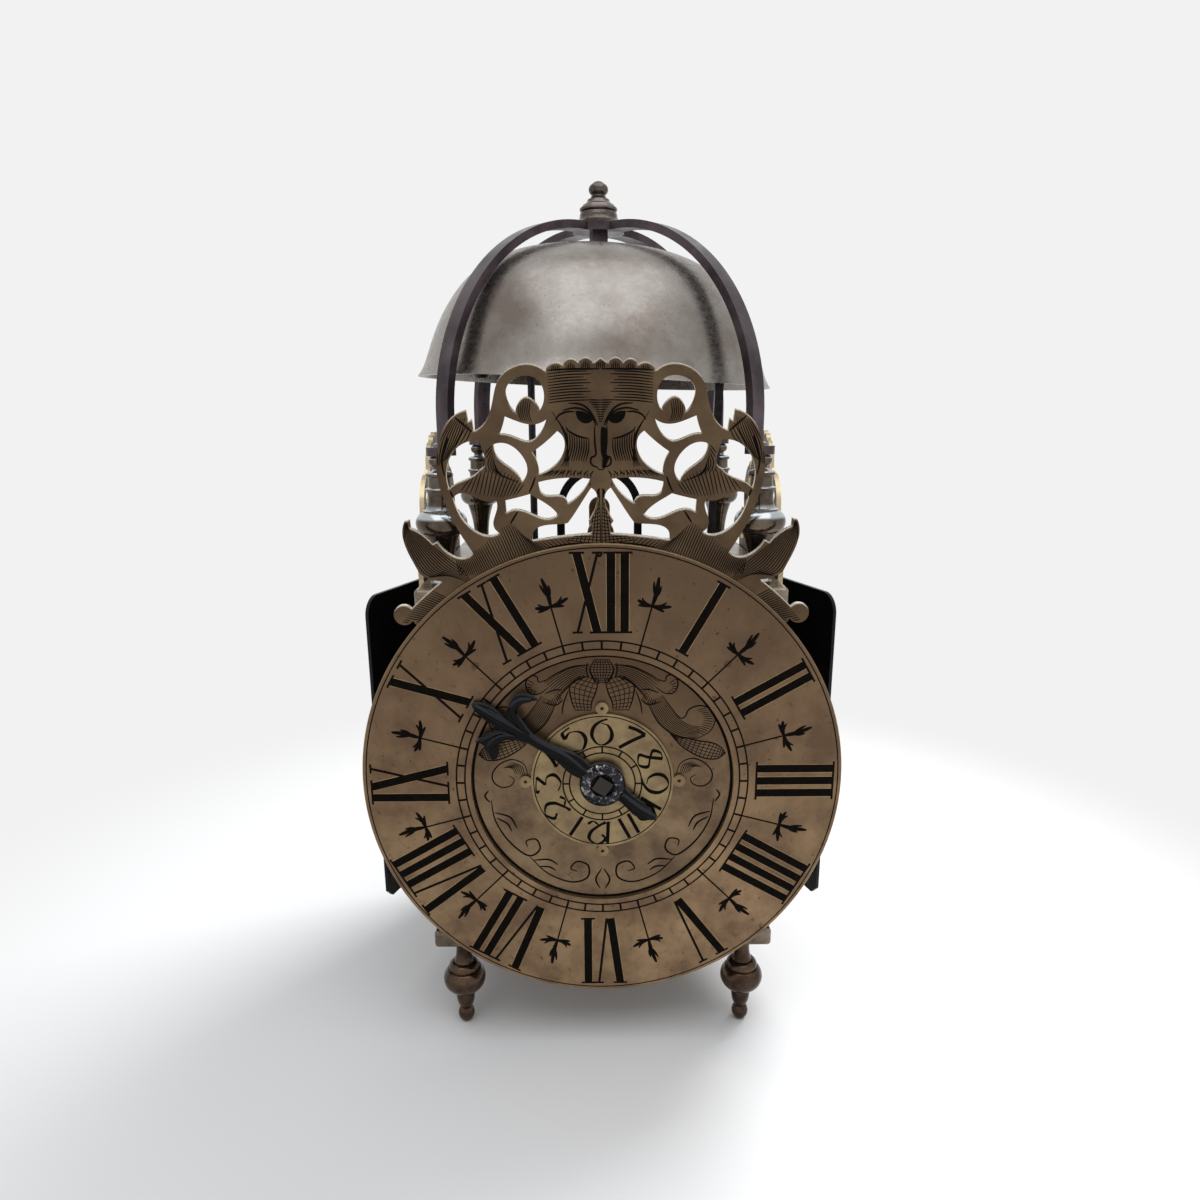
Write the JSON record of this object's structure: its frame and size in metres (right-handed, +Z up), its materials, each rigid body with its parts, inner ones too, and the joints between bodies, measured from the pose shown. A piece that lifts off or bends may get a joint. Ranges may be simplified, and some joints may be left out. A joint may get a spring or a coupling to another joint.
{
  "type": "lantern clock",
  "caption": "Weight-driven brass lantern clock: pillared frame, engraved chapter ring with one hand and alarm disc, pierced frets, side doors and a bell under crossed straps.",
  "frame": {"origin": "on the floor, under the middle of the square frame", "axes": "+Z up, the dial faces -Y, +X to the right as one reads the dial"},
  "size_m": [0.1636, 0.1346, 0.2984],
  "materials": {
    "brass_plates": "cast brass, filed and worn, toned",
    "brass_turned": "turned brass with brown tone in the hollows",
    "dial_brass": "engraved sheet brass, dull, with wax-filled numerals",
    "dial_centre": "engraved sheet brass, dull",
    "rivet_brass": "filed flush",
    "fret_brass": "sawn and engraved sheet brass, bright sawn edges",
    "strap_iron": "wrought iron, blackened and rubbed",
    "bell_metal": "cast bell metal, grey and mottled",
    "frame_iron": "wrought iron, dark",
    "door_iron": "sheet iron, black with rust stains",
    "hand_iron": "filed iron, blackened",
    "alarm_brass": "engraved sheet brass",
    "arbor_steel": "turned and filed steel",
    "wheel_brass": "cast and cut brass",
    "pulley_wood": "turned hardwood",
    "bob_lead": "iron rod, lead bob"
  },
  "bodies": {
    "root": {"bottom_plate": "brass_plates", "top_plate": "brass_plates", "pillar_front_left": "brass_turned", "pillar_front_right": "brass_turned", "pillar_back_left": "brass_turned", "pillar_back_right": "brass_turned", "foot_front_left": "brass_turned", "foot_front_right": "brass_turned", "foot_back_left": "brass_turned", "foot_back_right": "brass_turned", "finial_front_left": "brass_turned", "finial_front_right": "brass_turned", "finial_back_left": "brass_turned", "finial_back_right": "brass_turned", "chapter_ring": "dial_brass", "dial_plate": "dial_centre", "dial_rivets": "rivet_brass", "front_fret": "fret_brass", "left_fret": "fret_brass", "right_fret": "fret_brass", "sheet_screws": "rivet_brass", "bell_straps": "strap_iron", "top_finial": "brass_turned", "bell": "bell_metal", "bell_nuts": "strap_iron", "front_bar": "frame_iron", "middle_bar": "frame_iron", "back_bar": "frame_iron", "verge_cocks": "frame_iron", "back_plate": "frame_iron", "hanging_hoop": "frame_iron"},
    "going_great": {"going_great_arbor": "arbor_steel", "going_great_wheel": "wheel_brass", "going_pulley": "pulley_wood"},
    "going_second": {"going_second_arbor": "arbor_steel", "going_second_wheel": "wheel_brass"},
    "contrate": {"contrate_arbor": "arbor_steel", "contrate_wheel": "wheel_brass"},
    "crown": {"crown_arbor": "arbor_steel", "crown_wheel": "wheel_brass"},
    "verge_swing": {"verge": "arbor_steel", "pendulum": "bob_lead"},
    "hour": {"hour_wheel": "wheel_brass", "hour_hand": "hand_iron"},
    "alarm_setting": {"alarm_disc": "alarm_brass"},
    "report": {"report_pinion": "arbor_steel"},
    "strike_great": {"strike_great_arbor": "arbor_steel", "strike_great_wheel": "wheel_brass", "strike_pulley": "pulley_wood"},
    "hoop": {"hoop_arbor": "arbor_steel", "hoop_wheel": "wheel_brass"},
    "fly_vane": {"fly": "arbor_steel"},
    "count": {"count_wheel": "wheel_brass"},
    "strike_hammer": {"hammer": "arbor_steel"},
    "lifting": {"lifting_lever": "arbor_steel"},
    "locking": {"locking_lever": "arbor_steel"},
    "alarm_train": {"alarm_wheel": "wheel_brass"},
    "alarm_verge": {"alarm_hammer": "arbor_steel"},
    "door_left": {"left_door": "door_iron"},
    "door_right": {"right_door": "door_iron"}
  },
  "joints": [
    {"name": "contrate_turn", "type": "hinge", "parent": "root", "child": "contrate", "pos_m": [0, 0, 0.1162], "axis": [0, 1, 0], "continuous": true},
    {"name": "going_second_turn", "type": "hinge", "parent": "root", "child": "going_second", "pos_m": [0, 0, 0.0952], "axis": [0, 1, 0], "continuous": true},
    {"name": "going_great_turn", "type": "hinge", "parent": "root", "child": "going_great", "pos_m": [0, 0, 0.07], "axis": [0, 1, 0], "continuous": true},
    {"name": "crown_turn", "type": "hinge", "parent": "root", "child": "crown", "pos_m": [0, -0.0173, 0.15], "axis": [0, 0, 1], "continuous": true},
    {"name": "pendulum_swing", "type": "hinge", "parent": "root", "child": "verge_swing", "pos_m": [0, 0, 0.1816], "axis": [0, 1, 0], "range_deg": [-12, 12]},
    {"name": "hour_turn", "type": "hinge", "parent": "root", "child": "hour", "pos_m": [0, -0.06, 0.1019], "axis": [0, 1, 0], "continuous": true},
    {"name": "alarm_set", "type": "hinge", "parent": "hour", "child": "alarm_setting", "pos_m": [0, -0.062, 0.1019], "axis": [0, 1, 0], "continuous": true},
    {"name": "report_turn", "type": "hinge", "parent": "root", "child": "report", "pos_m": [0, -0.053, 0.07], "axis": [0, 1, 0], "continuous": true},
    {"name": "hoop_turn", "type": "hinge", "parent": "root", "child": "hoop", "pos_m": [0, 0.02, 0.0952], "axis": [0, 1, 0], "continuous": true},
    {"name": "strike_great_turn", "type": "hinge", "parent": "root", "child": "strike_great", "pos_m": [0, 0.02, 0.07], "axis": [0, 1, 0], "continuous": true},
    {"name": "fly_turn", "type": "hinge", "parent": "root", "child": "fly_vane", "pos_m": [0, 0.02, 0.1162], "axis": [0, 1, 0], "continuous": true},
    {"name": "count_turn", "type": "hinge", "parent": "root", "child": "count", "pos_m": [0, 0.044, 0.09365], "axis": [0, 1, 0], "continuous": true},
    {"name": "hammer_draw", "type": "hinge", "parent": "root", "child": "strike_hammer", "pos_m": [0.036, 0.016, 0.072], "axis": [0, -1, 0], "range_deg": [0, 6]},
    {"name": "lifting_rise", "type": "hinge", "parent": "root", "child": "lifting", "pos_m": [-0.03, 0, 0.14], "axis": [0, -1, 0], "range_deg": [0, 10]},
    {"name": "locking_rise", "type": "hinge", "parent": "root", "child": "locking", "pos_m": [0.03, 0.02, 0.14], "axis": [0, 1, 0], "range_deg": [0, 10]},
    {"name": "alarm_wheel_turn", "type": "hinge", "parent": "root", "child": "alarm_train", "pos_m": [-0.028, 0.052, 0.134], "axis": [0, 1, 0], "continuous": true},
    {"name": "alarm_hammer_swing", "type": "hinge", "parent": "root", "child": "alarm_verge", "pos_m": [-0.028, 0.045, 0.18], "axis": [0, 0, 1], "range_deg": [-8, 8]},
    {"name": "left_door_hinge", "type": "hinge", "parent": "root", "child": "door_left", "pos_m": [-0.0546, 0.042, 0.1], "axis": [0, 0, 1], "range_deg": [-75, 18.5]},
    {"name": "right_door_hinge", "type": "hinge", "parent": "root", "child": "door_right", "pos_m": [0.0546, 0.042, 0.1], "axis": [0, 0, 1], "range_deg": [-18.5, 75]}
  ],
  "couplings": [
    {"joint": "going_second_turn", "follows": "contrate_turn", "ratio": -0.11111},
    {"joint": "going_great_turn", "follows": "contrate_turn", "ratio": 0.013889},
    {"joint": "crown_turn", "follows": "contrate_turn", "ratio": -8},
    {"joint": "report_turn", "follows": "hour_turn", "ratio": -6},
    {"joint": "strike_great_turn", "follows": "hoop_turn", "ratio": -0.125},
    {"joint": "fly_turn", "follows": "hoop_turn", "ratio": -9},
    {"joint": "count_turn", "follows": "hoop_turn", "ratio": 0.012821}
  ]
}
